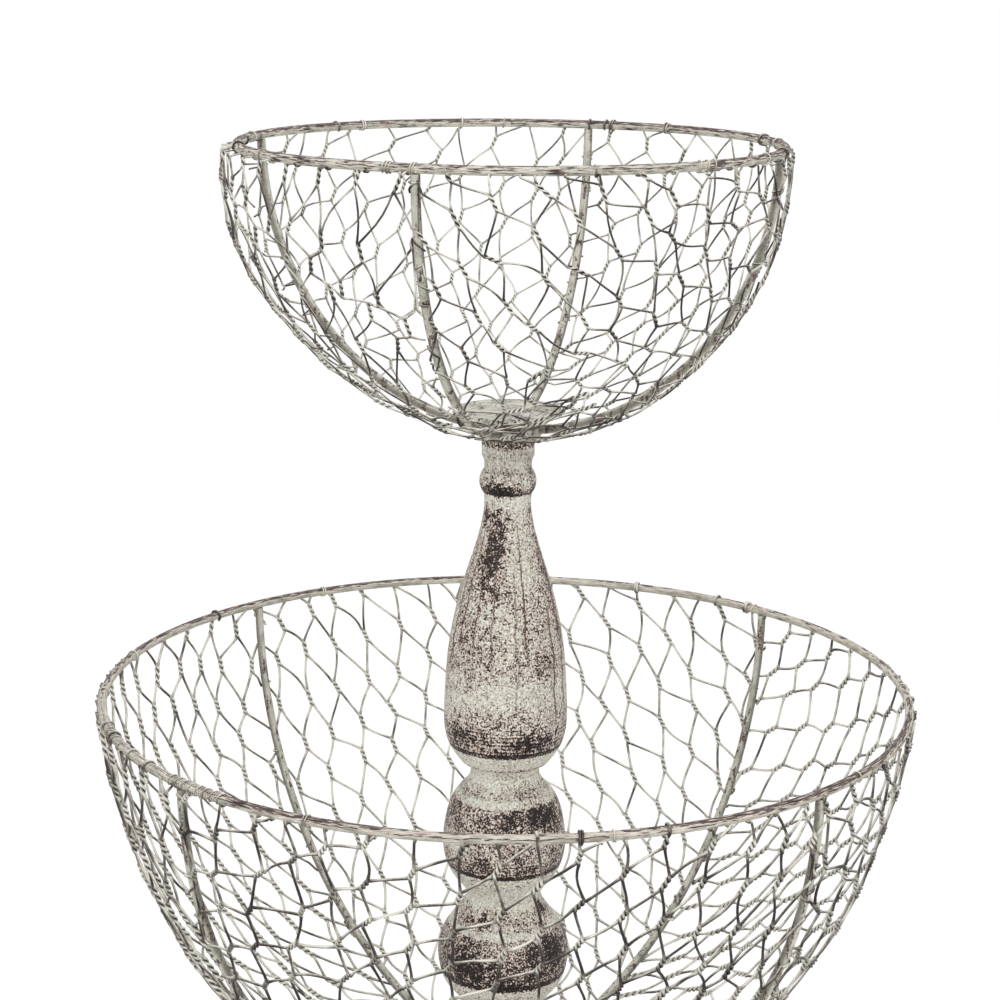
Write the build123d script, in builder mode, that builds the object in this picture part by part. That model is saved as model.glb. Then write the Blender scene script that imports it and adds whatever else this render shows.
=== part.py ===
# Tiered wire basket: two netting bowls on a turned wooden stand.
# Sizes are in millimetres, +Z is up and -Y is the front.
# The origin is on the floor, at the middle of the foot.
import math
import os

from build123d import *

os.makedirs("parts", exist_ok=True)

# Wire of the baskets
rim_wire_diameter = 4.0
rib_wire_diameter = 4.0
netting_wall = 1.5
netting_strut_width = 2.0
netting_clearance = 0.4
tie_wire_diameter = 1.0
tie_clearance = 0.2
weld_gap = 0.2

# Lower basket
lower_rim_radius = 185.0
lower_bowl_depth = 196.0
lower_hub_radius = 30.0
lower_cell_width = 34.6
lower_netting_hole_radius = 38.0
lower_tie_count = 12
lower_rib_angle = -46.0
lower_netting_angle = 15.0

# Upper basket
upper_rim_radius = 119.8
upper_bowl_depth = 128.0
upper_hub_radius = 15.0
upper_cell_width = 22.6
upper_netting_hole_radius = 21.0
upper_tie_count = 8
upper_rib_angle = -18.4
upper_netting_angle = -20.0

# Both baskets
ribs_per_basket = 4
hub_thickness = 4.0
netting_border = 3.0
netting_band_angle = 12.0
twist_share = 0.5
slant_share = 0.33
least_gap_share = 0.15
punch_start_share = 0.93
punch_length_share = 0.14

# Turned wooden stand
foot_radius = 75.0
foot_height = 60.0
felt_thickness = 2.0
felt_inset = 4.0
felt_width = 30.0
lower_ball_radius = 31.1
lower_ball_length = 91.8
upper_ball_radius = 28.85
upper_ball_length = 62.0
vase_radius = 28.65
vase_length = 159.0
spindle_bore_radius = 4.5

# Steel fittings that hold the stand together
rod_radius = 4.0
thread_clearance = 0.05
turning_bore_clearance = 0.3
turning_gap = 0.2
turning_washer_thickness = 1.2
turning_washer_radius = 11.5
nut_across_flats = 13.0
nut_height = 6.5
base_washer_radius = 11.0
base_washer_thickness = 1.6
counterbore_radius = 14.0
counterbore_depth = 14.0
rod_below_nut = 3.0
disc_radius = 24.4
disc_thickness = 2.0
disc_edge_radius = 0.6
boss_radius = 8.0
boss_height = 5.2
boss_cover = 1.0

rim_wire_radius = rim_wire_diameter / 2
rib_wire_radius = rib_wire_diameter / 2

# Heights of the stack, from the floor up
foot_top = felt_thickness + foot_height
lower_hub_bottom = foot_top + turning_washer_thickness + turning_gap
lower_hub_top = lower_hub_bottom + hub_thickness
lower_ball_bottom = lower_hub_top + turning_gap
upper_ball_bottom = lower_ball_bottom + lower_ball_length
vase_bottom = upper_ball_bottom + upper_ball_length
vase_top = vase_bottom + vase_length
upper_hub_bottom = vase_top + turning_washer_thickness + turning_gap
upper_hub_top = upper_hub_bottom + hub_thickness
boss_bottom = upper_hub_top + turning_gap
disc_bottom = boss_bottom + boss_height
rod_top = disc_bottom - boss_cover
nut_top = felt_thickness + counterbore_depth - base_washer_thickness
rod_bottom = nut_top - nut_height - rod_below_nut
lower_rim_height = lower_hub_bottom + hub_thickness / 2 + lower_bowl_depth
upper_rim_height = upper_hub_bottom + hub_thickness / 2 + upper_bowl_depth

# Outlines of the turned wood, from the bottom up. Each point is a share of
# the greatest radius and a share of the length. Two points are a straight
# line, three are an arc, and more are a smooth curve.
foot_shares = [
    [(1.0, 0.0), (1.0, 0.13)],
    [(1.0, 0.13), (0.983, 0.19), (0.935, 0.23)],
    [(0.935, 0.23), (0.9, 0.23)],
    [(0.9, 0.23), (0.9, 0.27)],
    [(0.9, 0.27), (0.7, 0.345), (0.54, 0.5), (0.44, 0.68), (0.4, 0.8)],
    [(0.4, 0.8), (0.44, 0.87), (0.4, 0.94)],
    [(0.4, 0.94), (0.375, 0.94)],
    [(0.375, 0.94), (0.375, 1.0)],
]
lower_ball_shares = [
    [(0.84, 0.0), (0.84, 0.02)],
    [(0.84, 0.02), (0.868, 0.02)],
    [(0.868, 0.02), (0.95, 0.083), (0.868, 0.145)],
    [(0.868, 0.145), (0.83, 0.161)],
    [(0.83, 0.161), (0.7, 0.237), (0.655, 0.346), (0.675, 0.444)],
    [(0.675, 0.444), (0.705, 0.452)],
    [(0.705, 0.452), (0.8, 0.488), (0.912, 0.542), (0.979, 0.619), (1.0, 0.684)]
    + [(0.965, 0.76), (0.88, 0.826), (0.8, 0.865), (0.683, 0.92), (0.6, 0.965), (0.56, 1.0)],
]
upper_ball_shares = [
    [(0.6, 0.0), (0.65, 0.06), (0.75, 0.123), (0.863, 0.194), (0.951, 0.285), (0.996, 0.39)]
    + [(0.994, 0.5), (0.965, 0.6), (0.898, 0.725), (0.811, 0.81), (0.7, 0.875)]
    + [(0.6, 0.93), (0.555, 1.0)],
]
vase_shares = [
    [(0.546, 0.0), (0.546, 0.012), (0.6, 0.025), (0.68, 0.034)],
    [(0.68, 0.034), (0.72, 0.034)],
    [(0.72, 0.034), (0.8, 0.053), (0.914, 0.086), (0.977, 0.122), (1.0, 0.176), (0.992, 0.23)]
    + [(0.973, 0.296), (0.937, 0.371), (0.869, 0.45), (0.771, 0.528), (0.675, 0.59)]
    + [(0.518, 0.679), (0.41, 0.755), (0.372, 0.811), (0.385, 0.84)],
    [(0.385, 0.84), (0.4, 0.843)],
    [(0.4, 0.843), (0.454, 0.874), (0.4, 0.905)],
    [(0.4, 0.905), (0.385, 0.908)],
    [(0.385, 0.908), (0.379, 0.93), (0.419, 0.95)],
    [(0.419, 0.95), (0.419, 0.98)],
    [(0.419, 0.98), (0.405, 0.995), (0.375, 1.0)],
]


def save(piece, label):
    """Label a finished piece and write it under its node's name."""
    piece.part.label = label
    export_step(piece.part, f"parts/{label}.step")
    print(label, round(piece.part.volume), len(piece.solids()))


def upright_plane(angle, height):
    """Plane through the axis whose X points outwards, angle degrees from the front."""
    turn = math.radians(angle)
    outwards = (math.sin(turn), -math.cos(turn), 0)
    across = (-math.cos(turn), -math.sin(turn), 0)
    return Plane(origin=(0, 0, height), x_dir=outwards, z_dir=across)


def draw_stretches(stretches, greatest_radius, length, bottom):
    """Draw an outline of shares with lines, arcs and smooth curves, from the bottom up."""
    for shares in stretches:
        points = [(r * greatest_radius, bottom + h * length) for r, h in shares]
        if len(points) == 2:
            Line(*points)
        elif len(points) == 3:
            ThreePointArc(*points)
        else:
            Spline(*points)
    return points[-1]


def make_turned_piece(label, stretches, greatest_radius, length, bottom):
    """Turned wood with a bore for the rod."""
    with BuildPart() as piece:
        with BuildSketch(Plane.XZ):
            with BuildLine():
                top_corner = draw_stretches(stretches, greatest_radius, length, bottom)
                bottom_corner = (stretches[0][0][0] * greatest_radius, bottom)
                Polyline(top_corner, (0, bottom + length), (0, bottom), bottom_corner)
            make_face()
        revolve(axis=Axis.Z)
        with BuildSketch(Plane.XY.offset(bottom)):
            Circle(spindle_bore_radius)
        extrude(amount=length, mode=Mode.SUBTRACT)
        if bottom < foot_top / 2:
            with BuildSketch(Plane.XY.offset(bottom)):
                Circle(counterbore_radius)
            extrude(amount=counterbore_depth, mode=Mode.SUBTRACT)
    save(piece, label)


def make_ring_plate(label, outer_radius, inner_radius, bottom, thickness):
    """Flat round plate with a hole, such as a washer."""
    with BuildPart() as plate:
        with BuildSketch(Plane.XY.offset(bottom)):
            Circle(outer_radius)
            Circle(inner_radius, mode=Mode.SUBTRACT)
        extrude(amount=thickness)
    save(plate, label)


def make_rim(label, radius, height):
    """Round wire bent to a ring."""
    with BuildPart() as rim:
        with BuildSketch(Plane.XZ):
            with Locations((radius, height)):
                Circle(rim_wire_radius)
        revolve(axis=Axis.Z)
    save(rim, label)


def make_rib(label, angle, rim_radius, rim_height, bowl_depth, hub_radius):
    """Bent wire from the hub's edge to the underside of the rim."""
    start = math.degrees(math.asin((hub_radius + weld_gap) / rim_radius))
    end = math.degrees(math.acos((rim_wire_radius + weld_gap) / bowl_depth))
    with BuildPart() as rib:
        with BuildLine(upright_plane(angle, rim_height)) as route:
            EllipticalCenterArc(
                (0, 0), rim_radius, bowl_depth, start_angle=start - 90, arc_size=end - start
            )
        with BuildSketch(Plane(origin=route.line @ 0, z_dir=route.line % 0)):
            Circle(rib_wire_radius)
        sweep(path=route.line)
    save(rib, label)


def make_ties(label, rim_radius, rim_height, count, rib_angle):
    """Loops of thin wire that lash the netting to the rim, clear of the ribs."""
    loop_radius = rim_wire_radius + tie_clearance + tie_wire_diameter / 2
    first = rib_angle - 90 + 180 / count
    with BuildPart() as ties:
        with Locations((0, 0, rim_height)):
            with PolarLocations(rim_radius, count, start_angle=first):
                Torus(loop_radius, tie_wire_diameter / 2, rotation=(90, 0, 0))
    save(ties, label)


def sheet_gaps(cell_width, sheet_radius, least_radius, angle):
    """Corners of each gap of a flat hexagonal netting, kept inside the sheet's ring."""
    twist = cell_width * twist_share
    slant = cell_width * slant_share
    pitch = twist + slant
    half_width = (cell_width - netting_strut_width) / 2
    side = (twist - netting_strut_width * slant_share) / 2
    point = pitch - twist / 2 - netting_strut_width * twist_share
    corners = [(0, point), (half_width, side), (half_width, -side)]
    corners += [(-x, -y) for x, y in corners]
    turn = math.radians(angle)
    reach = math.ceil(sheet_radius / pitch) + 1
    gaps = []
    for row in range(-reach, reach + 1):
        for column in range(-reach, reach + 1):
            middle = ((column + row % 2 / 2) * cell_width, row * pitch)
            gap = []
            for x, y in corners:
                radius = math.hypot(middle[0] + x, middle[1] + y)
                bearing = math.atan2(middle[1] + y, middle[0] + x) + turn
                gap.append((min(max(radius, least_radius), sheet_radius), bearing))
            flat = [(r * math.cos(b), r * math.sin(b)) for r, b in gap]
            area = sum(
                x * flat[i - 1][1] - y * flat[i - 1][0] for i, (x, y) in enumerate(flat)
            )
            if abs(area) / 2 > least_gap_share * cell_width * pitch:
                gaps.append(gap)
    return gaps


def make_netting(label, rim_radius, rim_height, bowl_depth, cell_width, hole_radius, angle):
    """Hexagonal netting drawn over the outside of the ribs, with a hole for the stand."""
    standoff = rib_wire_radius + netting_clearance
    across = rim_radius + standoff
    down = bowl_depth + standoff
    low = math.degrees(math.asin(hole_radius / across))
    top_drop = rim_wire_radius + tie_clearance + tie_wire_diameter + netting_clearance
    high = math.degrees(math.acos(top_drop / down))
    bands = round((high - low) / netting_band_angle)
    half_band = math.radians((high - low) / bands / 2)
    steps = [low + (high - low) * n / bands for n in range(bands + 1)]
    inner = [
        (across / math.cos(half_band) * math.sin(math.radians(s)),
         rim_height - down / math.cos(half_band) * math.cos(math.radians(s)))
        for s in steps
    ]
    wall_share = 1 + netting_wall / across
    outer = [(x * wall_share, rim_height + (z - rim_height) * wall_share) for x, z in inner]
    sheet_radius = across * math.radians(high)
    least_radius = across * math.radians(low)
    gaps = sheet_gaps(
        cell_width, sheet_radius - netting_border, least_radius + netting_border, angle
    )

    def on_bowl(radius, bearing, scale_share):
        down_angle = radius / across
        return Vector(
            scale_share * across * math.sin(down_angle) * math.cos(bearing),
            scale_share * across * math.sin(down_angle) * math.sin(bearing),
            rim_height - scale_share * down * math.cos(down_angle),
        )

    with BuildPart() as netting:
        with BuildSketch(Plane.XZ):
            Polygon(*outer, *reversed(inner), align=None)
        revolve(axis=Axis.Z)
        for gap in gaps:
            edge = [on_bowl(radius, bearing, 1) for radius, bearing in gap]
            middle = sum(edge, Vector()) / len(edge) - Vector(0, 0, rim_height)
            outwards = Vector(middle.X / across**2, middle.Y / across**2, middle.Z / down**2)
            start = Vector(0, 0, rim_height) + middle * punch_start_share
            punch = Plane(origin=start, z_dir=outwards)
            local = [punch.to_local_coords(corner) for corner in edge]
            with BuildSketch(punch):
                Polygon(*[(corner.X, corner.Y) for corner in local], align=None)
        extrude(amount=across * punch_length_share, mode=Mode.SUBTRACT, clean=False)
    print(label, "gaps", len(gaps))
    save(netting, label)


def make_basket(
    tier, rim_radius, rim_height, bowl_depth, hub_radius, hub_bottom,
    cell_width, hole_radius, tie_count, rib_angle, netting_angle,
):
    """All pieces of one basket."""
    make_rim(f"{tier}_rim", rim_radius, rim_height)
    for n in range(ribs_per_basket):
        turn = rib_angle + n * 360 / ribs_per_basket
        make_rib(
            f"{tier}_rib_{n + 1}", turn, rim_radius, rim_height, bowl_depth, hub_radius
        )
    make_ring_plate(
        f"{tier}_hub", hub_radius, rod_radius + turning_bore_clearance, hub_bottom, hub_thickness
    )
    make_ties(f"{tier}_rim_ties", rim_radius, rim_height, tie_count, rib_angle)
    make_netting(
        f"{tier}_netting", rim_radius, rim_height, bowl_depth, cell_width, hole_radius,
        netting_angle,
    )


# Wooden stand, from the floor up
make_ring_plate(
    "foot_felt", foot_radius - felt_inset, foot_radius - felt_inset - felt_width, 0, felt_thickness
)
make_turned_piece("foot", foot_shares, foot_radius, foot_height, felt_thickness)
make_turned_piece(
    "spindle_lower_ball", lower_ball_shares, lower_ball_radius, lower_ball_length,
    lower_ball_bottom,
)
make_turned_piece(
    "spindle_upper_ball", upper_ball_shares, upper_ball_radius, upper_ball_length,
    upper_ball_bottom,
)
make_turned_piece("spindle_vase", vase_shares, vase_radius, vase_length, vase_bottom)

# Steel fittings on the rod
turning_bore_radius = rod_radius + turning_bore_clearance
make_ring_plate(
    "lower_turning_washer", turning_washer_radius, turning_bore_radius, foot_top,
    turning_washer_thickness,
)
make_ring_plate(
    "upper_turning_washer", turning_washer_radius, turning_bore_radius, vase_top,
    turning_washer_thickness,
)
make_ring_plate(
    "base_washer", base_washer_radius, turning_bore_radius, nut_top, base_washer_thickness
)

with BuildPart() as base_nut:
    with BuildSketch(Plane.XY.offset(nut_top - nut_height)):
        RegularPolygon(nut_across_flats / 2, 6, major_radius=False)
        Circle(rod_radius + thread_clearance, mode=Mode.SUBTRACT)
    extrude(amount=nut_height)
save(base_nut, "base_nut")

with BuildPart() as tie_rod:
    with BuildSketch(Plane.XY.offset(rod_bottom)):
        Circle(rod_radius)
    extrude(amount=rod_top - rod_bottom)
    chamfer(tie_rod.edges(), rod_radius / 8)
save(tie_rod, "tie_rod")

with BuildPart() as floor_disc:
    with BuildSketch(Plane.XY.offset(boss_bottom)):
        Circle(boss_radius)
    extrude(amount=boss_height)
    with BuildSketch(Plane.XY.offset(disc_bottom)):
        Circle(disc_radius)
    extrude(amount=disc_thickness)
    fillet(floor_disc.edges().filter_by(GeomType.CIRCLE).sort_by(Axis.Z)[-1], disc_edge_radius)
    with BuildSketch(Plane.XY.offset(boss_bottom)):
        Circle(rod_radius + thread_clearance)
    extrude(amount=boss_height, mode=Mode.SUBTRACT)
save(floor_disc, "floor_disc")

# Baskets
make_basket(
    "lower", lower_rim_radius, lower_rim_height, lower_bowl_depth, lower_hub_radius,
    lower_hub_bottom, lower_cell_width, lower_netting_hole_radius, lower_tie_count,
    lower_rib_angle, lower_netting_angle,
)
make_basket(
    "upper", upper_rim_radius, upper_rim_height, upper_bowl_depth, upper_hub_radius,
    upper_hub_bottom, upper_cell_width, upper_netting_hole_radius, upper_tie_count,
    upper_rib_angle, upper_netting_angle,
)
print("lower rim height", lower_rim_height, "upper rim height", upper_rim_height)
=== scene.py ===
import math
import random
import bpy
import numpy as np
from mathutils import Matrix, Vector, kdtree


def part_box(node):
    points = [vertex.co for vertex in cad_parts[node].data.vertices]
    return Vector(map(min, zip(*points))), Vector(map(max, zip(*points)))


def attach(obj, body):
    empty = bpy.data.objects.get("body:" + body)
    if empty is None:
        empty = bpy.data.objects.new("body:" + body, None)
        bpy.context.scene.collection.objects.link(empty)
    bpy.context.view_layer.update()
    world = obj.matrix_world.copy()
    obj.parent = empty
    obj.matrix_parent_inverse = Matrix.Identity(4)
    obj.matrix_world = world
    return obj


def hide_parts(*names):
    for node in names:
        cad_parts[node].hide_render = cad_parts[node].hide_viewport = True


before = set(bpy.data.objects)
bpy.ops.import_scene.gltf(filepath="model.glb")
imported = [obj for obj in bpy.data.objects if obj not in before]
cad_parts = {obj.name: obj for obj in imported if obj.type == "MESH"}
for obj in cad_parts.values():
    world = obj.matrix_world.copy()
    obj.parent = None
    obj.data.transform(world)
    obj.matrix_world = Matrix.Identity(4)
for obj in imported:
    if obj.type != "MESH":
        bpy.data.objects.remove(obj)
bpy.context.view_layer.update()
bpy.ops.object.select_all(action="DESELECT")
print("frame loaded,", len(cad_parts), "nodes")

# Camera: fitted to both rims of the photograph, a 1000 x 1000 picture

cameraSet = {
    "place": (-0.0035, -1.0121, 0.5992),
    "lens": 82.38,         # mm
    "sensor": 36,          # mm
    "lookDown": 13.78,     # degrees under the horizon
    "roll": 0.55,          # degrees, the stand leans a little to the right
}
cameraData = bpy.data.cameras.new("photoCamera")
cameraData.lens = cameraSet["lens"]
cameraData.sensor_width = cameraSet["sensor"]
photoCamera = bpy.data.objects.new("photoCamera", cameraData)
bpy.context.scene.collection.objects.link(photoCamera)
turn = Matrix.Rotation(math.radians(90 - cameraSet["lookDown"]), 4, "X")
turn = turn @ Matrix.Rotation(math.radians(cameraSet["roll"]), 4, "Z")
photoCamera.matrix_world = Matrix.Translation(cameraSet["place"]) @ turn
bpy.context.scene.camera = photoCamera
print("camera set")


# Colours and nodes

def colour(hexCode):
    # sRGB to linear
    channels = [int(hexCode[n:n + 2], 16) / 255 for n in (1, 3, 5)]
    return [c / 12.92 if c <= 0.04045 else ((c + 0.055) / 1.055) ** 2.4 for c in channels] + [1.0]


def addNode(tree, kind, inputs=None, stops=None, output=0, **settings):
    # one node with its settings and links, it gives back one of its outputs
    made = tree.nodes.new("ShaderNode" + kind)
    for name, value in settings.items():
        setattr(made, name, value)
    for socket, value in (inputs or {}).items():
        if isinstance(value, bpy.types.NodeSocket):
            tree.links.new(value, made.inputs[socket])
        else:
            made.inputs[socket].default_value = value
    if stops:
        bar = made.color_ramp.elements
        while len(bar) < len(stops):
            bar.new(1.0)
        for mark, (place, tone) in zip(bar, stops):
            mark.position = place
            mark.color = colour(tone) if isinstance(tone, str) else (tone, tone, tone, 1.0)
    return made.outputs[output]


def newMaterial(name):
    made = bpy.data.materials.new(name)
    made.use_nodes = True
    return made, made.node_tree, made.node_tree.nodes["Principled BSDF"]


def dress(names, material):
    for name in names:
        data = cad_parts[name].data
        data.materials.clear()
        data.materials.append(material)


# Distressed paint on turned beech: cream chalk paint over a dark brown ground,
# rubbed through in dense fine specks, with turning lines and drying cracks

woodPaint = {
    "green": "#d3d4c6", "pink": "#e2d6cb", "white": "#f3efe6", "stain": "#93796d",
    "ground": "#544139", "black": "#0a0706", "crack": "#5b3a2e",
    # noises: size in metres and detail, all with one grit
    "speck": (0.00082, 0.8), "fleck": (0.0030, 2.0), "blot": (0.018, 3.0), "mottle": (0.001066, 2.0),
    "wander": (0.017, 2.0), "scratch": (0.0011, 1.0), "grit": 0.6,
    "girth": 0.026,                # radius at which cracks and scratches have their widths
    "turningLine": 0.0018, "lineDepth": 0.05, "fleckShare": 0.30, "blotReach": 1.35,
    "crackGap": 0.0085, "crackWidth": 0.00045, "crackFade": (0.5, 1.5), "crackHalo": 4, "haloWear": 0.12,
    "crackRun": (0.25, 1, 1), "scratchRun": (1.0, 0.09, 1.0), "scratchTilts": (-52, 38),
    "shine": 0.33, "bump": 0.4, "paintThickness": 0.0004,
    # Map Range values: 1 and 2 are read, 3 and 4 are what they become
    "uneven": {1: 0.3, 2: 0.7, 3: -0.13, 4: 0.13}, "ragged": {1: 0.3, 2: 0.7, 3: -0.35, 4: 0.35},
    "crackWander": {3: -0.3, 4: 0.3}, "crackShift": {3: -0.13, 4: 0.13},
    "crackDepth": {1: 0.1, 2: 0.6, 3: 0.5, 4: 1.0}, "crackBreaks": {1: 0.38, 2: 0.5, 3: 0.35, 4: 1.0},
    "limit": {3: 0.32, 4: 0.68}, "bareEdge": {1: -0.011, 2: 0.011},
    "scratchLine": {1: 0.01, 2: 0.035, 3: 1.0, 4: 0.0}, "scratchPlace": {1: 0.46, 2: 0.6},
    "tint": {1: 0.22, 2: 0.52}, "chalky": {1: 0.5, 2: 0.66, 3: 0.0, 4: 0.8},
    "thinUneven": {1: 0.3, 2: 0.7, 3: 0.09, 4: -0.09}, "thin": {1: -0.17, 2: -0.01, 3: 0.0, 4: 0.7},
    "darkUneven": {1: 0.35, 2: 0.65, 3: 0.05, 4: -0.11}, "darkest": {1: -0.04, 2: 0.09},
    "roughness": {3: 0.62, 4: 0.48},
}


def paintedWood(name, low, high, wear, lines, scratches, blots, cracks=None):
    made, tree, shader = newMaterial(name)
    place = addNode(tree, "TexCoord", output="Object")
    x, y, z = addNode(tree, "SeparateXYZ", {0: place}).node.outputs
    share = addNode(tree, "MapRange", {0: z, 1: low, 2: high})

    # the surface laid flat: round the turning at one girth, and up
    front = addNode(tree, "Math", {0: y, 1: -1.0}, operation="MULTIPLY")
    around = addNode(tree, "Math", {0: x, 1: front}, operation="ARCTAN2")
    around = addNode(tree, "Math", {0: around, 1: woodPaint["girth"]}, operation="MULTIPLY")
    laidFlat = addNode(tree, "CombineXYZ", {0: around, 1: z})

    # the noises, each where it is read
    apart = addNode(tree, "Mapping", {"Vector": place, "Location": (1, 2, 3)})
    tilted = [
        addNode(tree, "Mapping", {
            "Vector": laidFlat, "Rotation": (0, 0, math.radians(tilt)), "Scale": woodPaint["scratchRun"]})
        for tilt in woodPaint["scratchTilts"]]
    speck, fleck, blot, mottle, *hatches = (
        addNode(tree, "TexNoise", {
            "Vector": where, "Scale": 1 / size, "Detail": detail, "Roughness": woodPaint["grit"]})
        for where, (size, detail) in (
            (place, woodPaint["speck"]), (place, woodPaint["fleck"]), (place, woodPaint["blot"]),
            (apart, woodPaint["mottle"]), *((where, woodPaint["scratch"]) for where in tilted)))

    # wear by height, uneven, and more or less of it at the marks in blots
    wearHere = addNode(tree, "ValToRGB", {0: share}, wear)
    uneven = addNode(tree, "MapRange", {0: blot, **woodPaint["uneven"]})
    ragged = addNode(tree, "MapRange", {0: fleck, **woodPaint["ragged"]})
    rubbed = addNode(tree, "Math", {0: uneven, 1: wearHere}, operation="ADD")
    for bearing, height, wide, tall, strength in blots:
        middle = (woodPaint["girth"] * math.radians(bearing), low + height * (high - low), 0)
        away = addNode(tree, "VectorMath", {0: laidFlat, 1: middle}, operation="SUBTRACT")
        away = addNode(tree, "VectorMath", {0: away, 1: (1 / wide, 1 / tall, 1)}, operation="MULTIPLY")
        away = addNode(tree, "VectorMath", {0: away}, output="Value", operation="LENGTH")
        away = addNode(tree, "Math", {0: away, 1: ragged}, operation="ADD")
        fade = {1: 0.0, 2: woodPaint["blotReach"], 3: strength, 4: 0.0}
        more = addNode(tree, "MapRange", {0: away, **fade}, interpolation_type="SMOOTHSTEP")
        rubbed = addNode(tree, "Math", {0: rubbed, 1: more}, operation="ADD")

    # cracks: thin lines up the grain, each with a length of its own
    if cracks:
        size, detail = woodPaint["wander"]
        slow = addNode(tree, "Mapping", {"Vector": laidFlat, "Scale": woodPaint["crackRun"]})
        wander = addNode(tree, "TexNoise", {
            "Vector": slow, "Scale": 1 / size, "Detail": detail, "Roughness": woodPaint["grit"]})
        wander = addNode(tree, "MapRange", {0: wander, **woodPaint["crackWander"]})
        across = addNode(tree, "Math", {0: around, 1: 1 / woodPaint["crackGap"]}, operation="MULTIPLY")
        across = addNode(tree, "Math", {0: across, 1: wander}, operation="ADD")
        cell = addNode(tree, "TexVoronoi", {"W": across, "Scale": 1.0}, voronoi_dimensions="1D").node
        own = addNode(tree, "SeparateColor", {0: cell.outputs["Color"]}).node
        shift = addNode(tree, "MapRange", {0: own.outputs[0], **woodPaint["crackShift"]})
        present = addNode(tree, "Math", {0: share, 1: shift}, operation="ADD")
        present = addNode(tree, "ValToRGB", {0: present}, cracks)
        depth = addNode(tree, "MapRange", {0: own.outputs[1], **woodPaint["crackDepth"]})
        present = addNode(tree, "Math", {0: present, 1: depth}, operation="MULTIPLY")
        width = woodPaint["crackWidth"] / woodPaint["crackGap"]
        inner, outer = (width * times for times in woodPaint["crackFade"])
        crack = addNode(tree, "MapRange", {0: cell.outputs["Distance"], 1: inner, 2: outer, 3: 1.0, 4: 0.0})
        breaks = addNode(tree, "MapRange", {0: fleck, **woodPaint["crackBreaks"]})
        crack = addNode(tree, "Math", {0: crack, 1: breaks}, operation="MULTIPLY")
        crack = addNode(tree, "Math", {0: crack, 1: present}, operation="MULTIPLY", use_clamp=True)
        halo = {1: 0.0, 2: width * woodPaint["crackHalo"], 3: woodPaint["haloWear"], 4: 0.0}
        beside = addNode(tree, "MapRange", {0: cell.outputs["Distance"], **halo})
        rubbed = addNode(tree, "Math", {0: beside, 1: present, 2: rubbed}, operation="MULTIPLY_ADD")

    # the paint is through where the wear is above the grain
    grain = addNode(tree, "Mix", {0: woodPaint["fleckShare"], 2: speck, 3: fleck})
    wave = addNode(tree, "Math", {0: z, 1: 2 * math.pi / woodPaint["turningLine"]}, operation="MULTIPLY")
    wave = addNode(tree, "Math", {0: wave}, operation="SINE")
    linesHere = addNode(tree, "ValToRGB", {0: share}, lines)
    wave = addNode(tree, "Math", {0: wave, 1: linesHere}, operation="MULTIPLY")
    grain = addNode(tree, "Math", {0: wave, 1: woodPaint["lineDepth"], 2: grain}, operation="MULTIPLY_ADD")
    limit = addNode(tree, "MapRange", {0: rubbed, **woodPaint["limit"]}, clamp=False)
    over = addNode(tree, "Math", {0: limit, 1: grain}, operation="SUBTRACT")
    bare = addNode(tree, "MapRange", {0: over, **woodPaint["bareEdge"]})

    # scratches: thin lines where a stretched noise passes its middle value
    scratched = addNode(tree, "MapRange", {0: blot, **woodPaint["scratchPlace"]})
    allowed = addNode(tree, "ValToRGB", {0: share}, scratches)
    scratched = addNode(tree, "Math", {0: scratched, 1: allowed}, operation="MULTIPLY")
    for hatch in hatches:
        mark = addNode(tree, "Math", {0: hatch, 1: 0.5}, operation="SUBTRACT")
        mark = addNode(tree, "Math", {0: mark}, operation="ABSOLUTE")
        mark = addNode(tree, "MapRange", {0: mark, **woodPaint["scratchLine"]})
        mark = addNode(tree, "Math", {0: mark, 1: scratched}, operation="MULTIPLY")
        bare = addNode(tree, "Math", {0: bare, 1: mark}, operation="MAXIMUM")

    # green where it is whole, pink where it is rubbed, with chalk on it and stain at thin edges
    whole, worn, white, stain, ground, black = (
        colour(woodPaint[tone]) for tone in ("green", "pink", "white", "stain", "ground", "black"))
    tint = addNode(tree, "MapRange", {0: rubbed, **woodPaint["tint"]})
    tone = addNode(tree, "Mix", {0: tint, 6: whole, 7: worn}, output=2, data_type="RGBA")
    chalky = addNode(tree, "MapRange", {0: mottle, **woodPaint["chalky"]})
    tone = addNode(tree, "Mix", {0: chalky, 6: tone, 7: white}, output=2, data_type="RGBA")
    thin = addNode(tree, "MapRange", {0: mottle, **woodPaint["thinUneven"]})
    thin = addNode(tree, "Math", {0: over, 1: thin}, operation="ADD")
    thin = addNode(tree, "MapRange", {0: thin, **woodPaint["thin"]})
    tone = addNode(tree, "Mix", {0: thin, 6: tone, 7: stain}, output=2, data_type="RGBA")
    shade = addNode(tree, "MapRange", {0: mottle, **woodPaint["darkUneven"]})
    shade = addNode(tree, "Math", {0: over, 1: shade}, operation="ADD")
    shade = addNode(tree, "MapRange", {0: shade, **woodPaint["darkest"]})
    dark = addNode(tree, "Mix", {0: shade, 6: ground, 7: black}, output=2, data_type="RGBA")
    tone = addNode(tree, "Mix", {0: bare, 6: tone, 7: dark}, output=2, data_type="RGBA")
    deep = bare
    if cracks:
        inCrack = {0: crack, 6: tone, 7: colour(woodPaint["crack"])}
        tone = addNode(tree, "Mix", inCrack, output=2, data_type="RGBA")
        deep = addNode(tree, "Math", {0: bare, 1: crack}, operation="MAXIMUM")
    rough = addNode(tree, "MapRange", {0: bare, **woodPaint["roughness"]})
    bump = addNode(tree, "Bump", {
        "Strength": woodPaint["bump"], "Distance": woodPaint["paintThickness"], "Height": deep}, invert=True)
    tree.links.new(tone, shader.inputs["Base Color"])
    tree.links.new(rough, shader.inputs["Roughness"])
    tree.links.new(bump, shader.inputs["Normal"])
    shader.inputs["Specular IOR Level"].default_value = woodPaint["shine"]
    return made


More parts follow.
